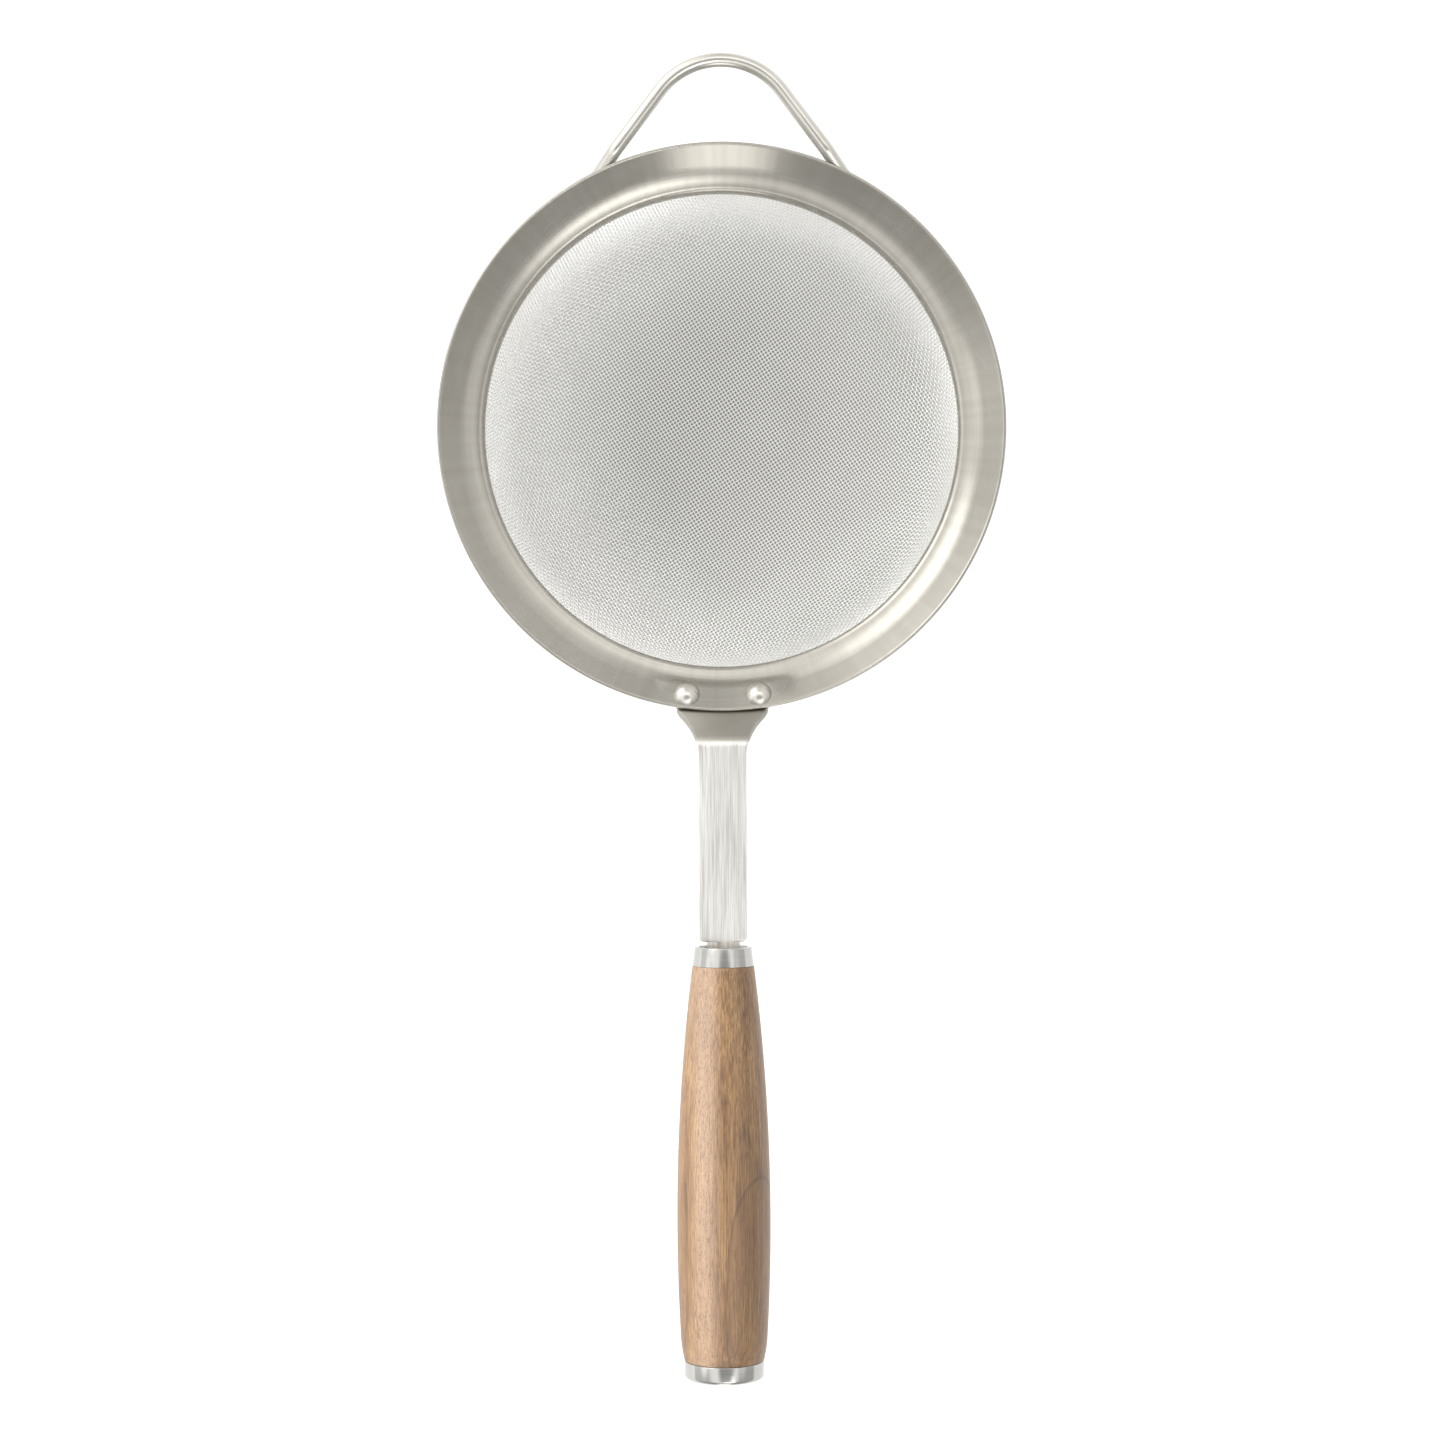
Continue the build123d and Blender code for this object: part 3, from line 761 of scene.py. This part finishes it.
def makeArm():
    shoulder = rimRadius + strap["barRun"]
    edge = strap["edge"]
    runs = np.concatenate([
        armStart + np.array([0, 0.1, 0.3, 0.6]),
        np.arange(armStart + 1, rimRadius + strap["flareRun"] + 0.2, 0.3),
        np.arange(rimRadius + strap["flareRun"] + 0.5, shoulder - 1.05, 1.5),
        shoulder - strap["shoulderCorner"] * (1 - np.sin(np.linspace(0, np.pi / 2, 8))),
        [shoulder + 0.02], np.arange(shoulder + 2, armEnd, 4), [armEnd],
    ])
    half = armHalfWidth(runs)[:, None]
    # the section: flat faces with eased edges, as offsets across and through the plate; each arc leaves
    # out the end that it shares with a flat
    flat = np.linspace(-1, 1, 41)
    bow = np.linspace(0, np.pi / 2, 5)
    out, back = bow[1:], bow[:-1]
    thick = strap["plate"] / 2
    shoulderThick = thick - strap["crown"] - edge
    across = np.concatenate([
        (half - edge) * flat,
        half - edge + edge * np.sin(out),
        half - edge + edge * np.cos(back),
        (half - edge) * flat[::-1],
        -(half - edge) - edge * np.sin(out),
        -(half - edge) - edge * np.cos(back),
    ], axis=1)
    through = np.concatenate([
        thick - strap["crown"] * flat**2,
        shoulderThick + edge * np.cos(out),
        -thick + edge - edge * np.sin(back),
        -thick + 0 * flat,
        -thick + edge - edge * np.cos(out),
        shoulderThick + edge * np.sin(back),
    ])[None, :]
    y = -runs[:, None] + 0 * across
    step = 0.05
    fallX = (armMiddle(across + step, y) - armMiddle(across - step, y)) / (2 * step)
    fallY = (armMiddle(across, y + step) - armMiddle(across, y - step)) / (2 * step)
    normal = unit(np.stack([-fallX, -fallY, 1 + 0 * fallX], axis=-1))
    points = np.stack([across, y, armMiddle(across, y)], axis=-1) + normal * through[..., None]
    rows, columns = points.shape[:2]
    faces, uv = gridFaces(rows, columns)
    ends, endUv = closedEnds(rows, columns)
    uv = np.concatenate([uv[:, ::-1], endUv[:, ::-1]])
    makePiece(
        "handleStrap", points.reshape(-1, 3), [faces, *ends], uv, plateSteel, ["handle_arm"],
        sharp=30,
    )


makeArm()
print("strap made")

# the two rivets
rivet = {
    "head": 5.6,
    "tilt": 27.0,  # a little flatter than its seat
    "sink": 0.08,
    "headHeight": 1.9,
    "rim": 0.3,
    "shank": 3.0,
    "tail": 4.8,
    "tailHeight": 1.1,
    "slack": 0.35,  # from the strap to the tail
    "ease": 0.15,  # of the head's and the tail's inner edge
    "tailEase": 0.4,
}


def makeRivet(name, node, way):
    # a domed head, a shank and a flat tail, turned round the rivet's own axis, square to its flat
    tilt = radians(rivet["tilt"])
    radius, dome = rivet["head"] / 2, rivet["headHeight"] - rivet["rim"]
    ball = (radius**2 + dome**2) / (2 * dome)
    shoulderTurn = np.degrees(np.arcsin(radius / ball))
    depth = rim["sheet"] + strap["plate"] + rivet["slack"]
    tail, shank = rivet["tail"] / 2, rivet["shank"] / 2
    ease, tailEase = rivet["ease"], rivet["tailEase"]
    tailEnd = -depth - rivet["tailHeight"]
    profile = np.concatenate([
        arcPoints((0, rivet["headHeight"] - ball), ball, 89.5, 90 - shoulderTurn, 20),
        arcPoints((radius - ease, ease), ease, 0, -90, 5),
        [(shank, 0), (shank, -depth)],
        arcPoints((tail - ease, -depth - ease), ease, 90, 0, 4),
        arcPoints((tail - tailEase, tailEnd + tailEase), tailEase, 0, -90, 6),
        [(poleRadius, tailEnd)],
    ])
    points = spun(profile, 64)
    outward = np.array([way[0], way[1], 0])
    square = outward * -np.sin(tilt) + np.array([0, 0, np.cos(tilt)])
    along = outward * np.cos(tilt) + np.array([0, 0, np.sin(tilt)])
    beside = np.cross(square, along)
    pad = radians(rim["padTilt"])
    top = -rim["sheet"] / 2 - (lipMiddle - rivetRadius) * np.tan(pad) + rim["sheet"] / 2 / np.cos(pad)
    seat = outward * rivetRadius + np.array([0, 0, top - rivet["sink"]])
    points = seat + points[..., :1] * along + points[..., 1:2] * beside + points[..., 2:] * square
    rows, columns = points.shape[:2]
    faces, uv = gridFaces(rows, columns)
    ends, endUv = closedEnds(rows, columns)
    uv = np.concatenate([uv, endUv])
    makePiece(name, points.reshape(-1, 3), [faces, *ends], uv, polished, [node])


makeRivet("rivetLeft", "rivet_left", rivetWays[0])
makeRivet("rivetRight", "rivet_right", rivetWays[1])
print("rivets made")

# the wire loop that rests on a cup
loop = {
    "wire": 3.0,
    "stand": 18.8,  # from the lip to the outside of the loop's end
    "bend": 16.0,
    "limbAngle": 53.0,
    "drop": 0.8,
    "footLength": 14.0,
    "footBend": 4.0,
    "weldGap": 0.32,
    "edge": 0.3,
}


def makeLoop():
    # a round wire carried along a path of two feet, two limbs and a round end
    wire = loop["wire"] / 2
    run = np.array([np.cos(radians(loop["limbAngle"])), -np.sin(radians(loop["limbAngle"])), 0])
    bendMiddle = rimRadius + loop["stand"] - wire - loop["bend"]
    apex = np.array([0, bendMiddle + loop["bend"] / run[0], -loop["drop"]])
    away = (rim["sheet"] / 2 + wire + loop["weldGap"]) / np.cos(radians(rim["flangeAngle"]))
    kneeRadius = lipMiddle + (rim["sheet"] / 2 + away - loop["drop"]) / slope
    knee = apex + run * (-run[1] * apex[1] - np.sqrt(kneeRadius**2 - (run[0] * apex[1]) ** 2))
    toe = knee + run * loop["footLength"]
    toe[2] = -rim["sheet"] / 2 - away - (lipMiddle - np.hypot(toe[0], toe[1])) * slope
    flip = np.array([-1, 1, 1])
    path = bentPath(
        [toe, knee, apex, knee * flip, toe * flip], [loop["footBend"], loop["bend"], loop["footBend"]], 0.4,
    )
    forward = unit(np.gradient(path, axis=0))
    # both ends are cut square with an eased edge
    bow = np.linspace(0, np.pi / 2, 5)
    edge = loop["edge"]
    ease = wire - edge + edge * np.sin(bow)
    path = np.concatenate([
        path[0] + forward[0] * (edge * (1 - np.cos(bow)))[:, None], path[2:-2],
        path[-1] - forward[-1] * (edge * (1 - np.cos(bow[::-1])))[:, None],
    ])
    thickness = np.concatenate([ease, np.full(len(path) - 10, wire), ease[::-1]])[:, None, None]
    forward = unit(np.gradient(path, axis=0))
    up = unit(np.array([0, 0, 1]) - forward * forward[:, 2:])
    beside = np.cross(forward, up)
    angle = np.linspace(0, 2 * np.pi, 32, endpoint=False)[:, None]
    ring = np.cos(angle) * up[:, None] + np.sin(angle) * beside[:, None]
    points = path[:, None] + ring * thickness
    rows, columns = points.shape[:2]
    faces, uv = gridFaces(rows, columns)
    ends, endUv = closedEnds(rows, columns)
    turned = [faces[:, ::-1], ends[0][:, ::-1], ends[1][:, ::-1]]
    uv = np.concatenate([uv.reshape(-1, 4, 2)[:, ::-1].reshape(-1, 2), endUv])
    makePiece("restLoop", points.reshape(-1, 3), turned, uv, polished, ["rest_loop"])


makeLoop()
print("loop made")

# ferrule, grip and cap, all turned round the handle's axis
handle = {
    "ferruleWall": 1.25,
    "ferruleTaper": 0.45,
    "ferruleEdge": 0.3,
    "gripRadius": 9.75,
    "gripFullest": 53.1,  # from the front of the wood
    "gripSweep": 430.0,  # radius of the barrel's long curve
    "gripEase": 0.42,  # the wood is sanded down this much to meet the cap
    "easeRun": 4.5,
    "frontTenon": 3.3,
    "nestGap": 0.05,
    "capRadius": 8.35,
    "capWall": 1.7,
    "capFloor": 1.2,
    "capRound": 0.9,
    "capLip": 0.2,
}
ferruleMouth, gripStart = nodeSpan("front_ferrule")
gripEnd, capEnd = nodeSpan("end_cap")


def barrel(along):
    # radius of the wood: one long circular sweep, eased down where it meets the cap
    off = along - gripStart - handle["gripFullest"]
    sweep = handle["gripRadius"] - handle["gripSweep"] + np.sqrt(handle["gripSweep"] ** 2 - off**2)
    # the ease is half done where the wood ends, and so is doubled
    eased = 2 * smooth(gripEnd - handle["easeRun"], gripEnd + handle["easeRun"], along)
    return sweep - handle["gripEase"] * eased


def makeTurned(name, profile, material, node, count, poles):
    # a profile of radius and distance along the handle, turned round the handle's axis
    points = spun(np.array(profile)[::-1], count)
    points = np.stack([points[..., 0], -points[..., 2], points[..., 1] + gripHeight], axis=-1)
    rows, columns = points.shape[:2]
    faces, uv = gridFaces(rows, columns, closeRows=not poles)
    sets = [faces]
    if poles:
        ends, endUv = closedEnds(rows, columns)
        sets, uv = [faces, *ends], np.concatenate([uv, endUv])
    makePiece(name, points.reshape(-1, 3), sets, uv, material, [node])


def makeFerrule():
    front = barrel(gripStart)
    inner, mouth, edge = front - handle["ferruleWall"], front - handle["ferruleTaper"], handle["ferruleEdge"]
    profile = np.concatenate([
        [(inner, gripStart), (inner, (gripStart + ferruleMouth) / 2)],
        arcPoints((inner + edge * 0.6, ferruleMouth + edge * 0.6), edge * 0.6, 180, 270, 5),
        arcPoints((mouth - edge, ferruleMouth + edge), edge, 270, 360 - 6, 7),
        [(front - 0.02, gripStart - 0.06), (front - 0.08, gripStart)],
    ])
    makeTurned("frontFerrule", profile, turnedBright, "front_ferrule", 128, False)


def makeGrip():
    front, rear = barrel(gripStart), barrel(gripEnd)
    tenon, tenonEnd = front - handle["ferruleWall"] - handle["nestGap"], gripStart - handle["frontTenon"]
    capTenon = handle["capRadius"] - handle["capWall"] - handle["nestGap"]
    along = np.linspace(gripStart + 0.12, gripEnd - 0.25, 120)
    capTenonEnd = capEnd - handle["capFloor"] - handle["nestGap"]
    profile = np.concatenate([
        [(poleRadius, tenonEnd), (tenon - 0.3, tenonEnd), (tenon, tenonEnd + 0.3), (tenon, gripStart)],
        [(front - 0.12, gripStart), (front - 0.03, gripStart + 0.03)],
        np.stack([barrel(along), along], axis=1),
        [(rear - 0.07, gripEnd - 0.07), (rear - 0.25, gripEnd), (capTenon, gripEnd)],
        [(capTenon, capTenonEnd), (poleRadius, capTenonEnd)],
    ])
    makeTurned("walnutGrip", profile, walnut, "grip", 160, True)


def makeCap():
    radius, edge, lip = handle["capRadius"], handle["capRound"], handle["capLip"]
    bore, floor = radius - handle["capWall"], capEnd - handle["capFloor"]
    profile = np.concatenate([
        [(poleRadius, floor), (bore, floor), (bore, gripEnd + 0.1), (bore + 0.1, gripEnd)],
        arcPoints((radius - lip, gripEnd + lip), lip, 270, 360, 6),
        arcPoints((radius - edge, capEnd - edge), edge, 0, 90, 12),
        [(radius - edge - 1.5, capEnd), (poleRadius, capEnd)],
    ])
    makeTurned("endCap", profile, turnedBright, "end_cap", 160, True)


makeFerrule()
makeGrip()
makeCap()
print("handle turned")

# the clamp band is a plain ring, and stays as the frame gives it
ring = frame["nodes"]["mesh_ring"]
ring.data.materials.clear()
ring.data.materials.append(plainSteel)

# floor, light and camera
studio = {
    "floorTone": 0.3,
    "floorHalf": 0.7,
    "floorGlow": 0.8,
    # inside the near end of this run the floor has no glow, which leaves a painted shadow under the bowl
    "paintedShadowEdge": (0.044, 0.060),  # metres from the bowl's axis, over which the glow comes in
    "power": 1.42,
    "overhead": 1.35,
    "ringTop": (0.62, 0.84),
    # radiance near the horizon, every 30 degrees from -X round by -Y, +X and +Y
    "ring": [1.0, 0.6, 0.45, 0.62, 0.42, 0.52, 0.62, 0.92, 1.0, 0.7, 1.8, 1.0, 1.0],
    "sideLamp": {"away": (-0.42, 0.0, 0.26), "size": 0.3, "watts": 2.6},
    # soft boxes, and a dull patch overhead: degrees round from +X, degrees up, reach, soft edge, radiance
    "boxes": [
        (138, 34, 10, 14, 3.0),
        (176, 60, 7, 11, 1.3),
        (180, 30, 6, 9, 1.6),
        (300, 62, 8, 11, 4.0),
        (270, 10, 7, 8, 2.6),
        (70, 68, 10, 11, 2.2),
        (0, 38, 8, 8, 0.95),
        (350, 84, 15, 14, 0.42),
    ],
}
view = {"lens": 71.75, "sensor": 36.0, "back": 0.0624, "above": 0.6063, "turn": -0.003, "nearest": 0.05}


def makeFloor():
    # grey paper on a light table, whose glow is masked off in a disc under the bowl: that grey disc is a
    # painted shadow under the bowl
    material, tree = newMaterial("floorWithPaintedShadow")
    place = addNode(tree, "TexCoord")
    centred = addNode(tree, "Mapping", {"Location": (0, -bowlMiddle[1], 0)}, {0: place.outputs["Object"]})
    away = addNode(tree, "VectorMath", {"operation": "LENGTH"}, {0: centred.outputs[0]})
    near, far = studio["paintedShadowEdge"]
    glow = addNode(
        tree, "MapRange", {"interpolation_type": "SMOOTHSTEP", 1: near, 2: far, 4: studio["floorGlow"]},
        {0: away.outputs["Value"]},
    )
    shader = addNode(
        tree, "BsdfPrincipled",
        {"Base Color": grey(studio["floorTone"]), "Roughness": 1.0, "IOR": 1.0, "Emission Color": grey(1.0)},
        {"Emission Strength": glow.outputs[0]},
    )
    addNode(tree, "OutputMaterial", links={"Surface": shader.outputs[0]})
    size = studio["floorHalf"]
    mesh = bpy.data.meshes.new("floor")
    corners = [(-size, -size, 0), (size, -size, 0), (size, size, 0), (-size, size, 0)]
    mesh.from_pydata(corners, [], [(0, 1, 2, 3)])
    mesh.materials.append(material)
    floor = bpy.data.objects.new("floor", mesh)
    bpy.context.scene.collection.objects.link(floor)


def makeLight():
    # a horizon that differs by side, a brighter overhead, and soft round boxes laid over both
    world = bpy.data.worlds.new("softStudio")
    bpy.context.scene.world = world
    world.use_nodes = True
    tree = world.node_tree
    tree.nodes.clear()
    place = addNode(tree, "TexCoord")
    way = addNode(tree, "SeparateXYZ", links={0: place.outputs["Generated"]})
    angle = addNode(tree, "Math", {"operation": "ARCTAN2"}, {0: way.outputs[1], 1: way.outputs[0]})
    share = addNode(tree, "MapRange", {1: -np.pi, 2: np.pi}, {0: angle.outputs[0]})
    ring, last = studio["ring"], len(studio["ring"]) - 1
    horizon = addNode(
        tree, "ValToRGB", {"stops": [(k / last, grey(value / 2)) for k, value in enumerate(ring)]},
        {0: share.outputs[0]},
    )
    doubled = addNode(tree, "Math", {"operation": "MULTIPLY", 1: 2.0}, {0: horizon.outputs[0]})
    low, high = studio["ringTop"]
    rising = {"interpolation_type": "SMOOTHSTEP", 1: low, 2: high}
    lifted = addNode(tree, "MapRange", rising, {0: way.outputs[2]})
    top = {"data_type": "FLOAT", 3: studio["overhead"]}
    sky = addNode(tree, "Mix", top, {0: lifted.outputs[0], 2: doubled.outputs[0]})
    for around, up, reach, edge, radiance in studio["boxes"]:
        turn, rise = radians(around), radians(up)
        towards = (np.cos(turn) * np.cos(rise), np.sin(turn) * np.cos(rise), np.sin(rise))
        near = addNode(
            tree, "VectorMath", {"operation": "DOT_PRODUCT", 1: towards}, {0: place.outputs["Generated"]},
        )
        inner, outer = np.cos(radians(reach)), np.cos(radians(reach + edge))
        softEdge = {"interpolation_type": "SMOOTHSTEP", 1: outer, 2: inner}
        mask = addNode(tree, "MapRange", softEdge, {0: near.outputs["Value"]})
        laid = {"data_type": "FLOAT", 3: radiance}
        sky = addNode(tree, "Mix", laid, {0: mask.outputs[0], 2: sky.outputs[0]})
    bright = addNode(tree, "Math", {"operation": "MULTIPLY", 1: studio["power"]}, {0: sky.outputs[0]})
    light = addNode(tree, "Background", links={"Strength": bright.outputs[0]})
    seen = addNode(tree, "Background", {0: grey(1.0), 1: 1.0})
    ray = addNode(tree, "LightPath")
    choice = {0: ray.outputs["Is Camera Ray"], 1: light.outputs[0], 2: seen.outputs[0]}
    mixed = addNode(tree, "MixShader", links=choice)
    addNode(tree, "OutputWorld", links={0: mixed.outputs[0]})


def makeSideLamp():
    # a soft lamp to the left of the handle, which the metal doesn't mirror
    lamp = studio["sideLamp"]
    low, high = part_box("grip")
    middle = np.array([(low[k] + high[k]) / 2 for k in range(3)])
    light = bpy.data.lights.new("sideLamp", "AREA")
    light.size = lamp["size"]
    light.energy = lamp["watts"]
    holder = bpy.data.objects.new("sideLamp", light)
    holder.location = middle + lamp["away"]
    holder.rotation_euler = (0, -np.arctan2(-lamp["away"][0], lamp["away"][2]), 0)
    holder.visible_glossy = False
    bpy.context.scene.collection.objects.link(holder)


def makeCamera():
    # looks straight down, a little handlewards of the bowl
    camera = bpy.data.cameras.new("camera")
    camera.lens = view["lens"]
    camera.sensor_width = view["sensor"]
    camera.clip_start = view["nearest"]
    holder = bpy.data.objects.new("camera", camera)
    holder.location = (0.0, bowlMiddle[1] - view["back"], bowlMiddle[2] + view["above"])
    holder.rotation_euler = (0, 0, view["turn"])
    bpy.context.scene.collection.objects.link(holder)
    bpy.context.scene.camera = holder
    bpy.context.scene.view_settings.view_transform = "Standard"


makeFloor()
makeLight()
makeSideLamp()
makeCamera()
print("stage set")
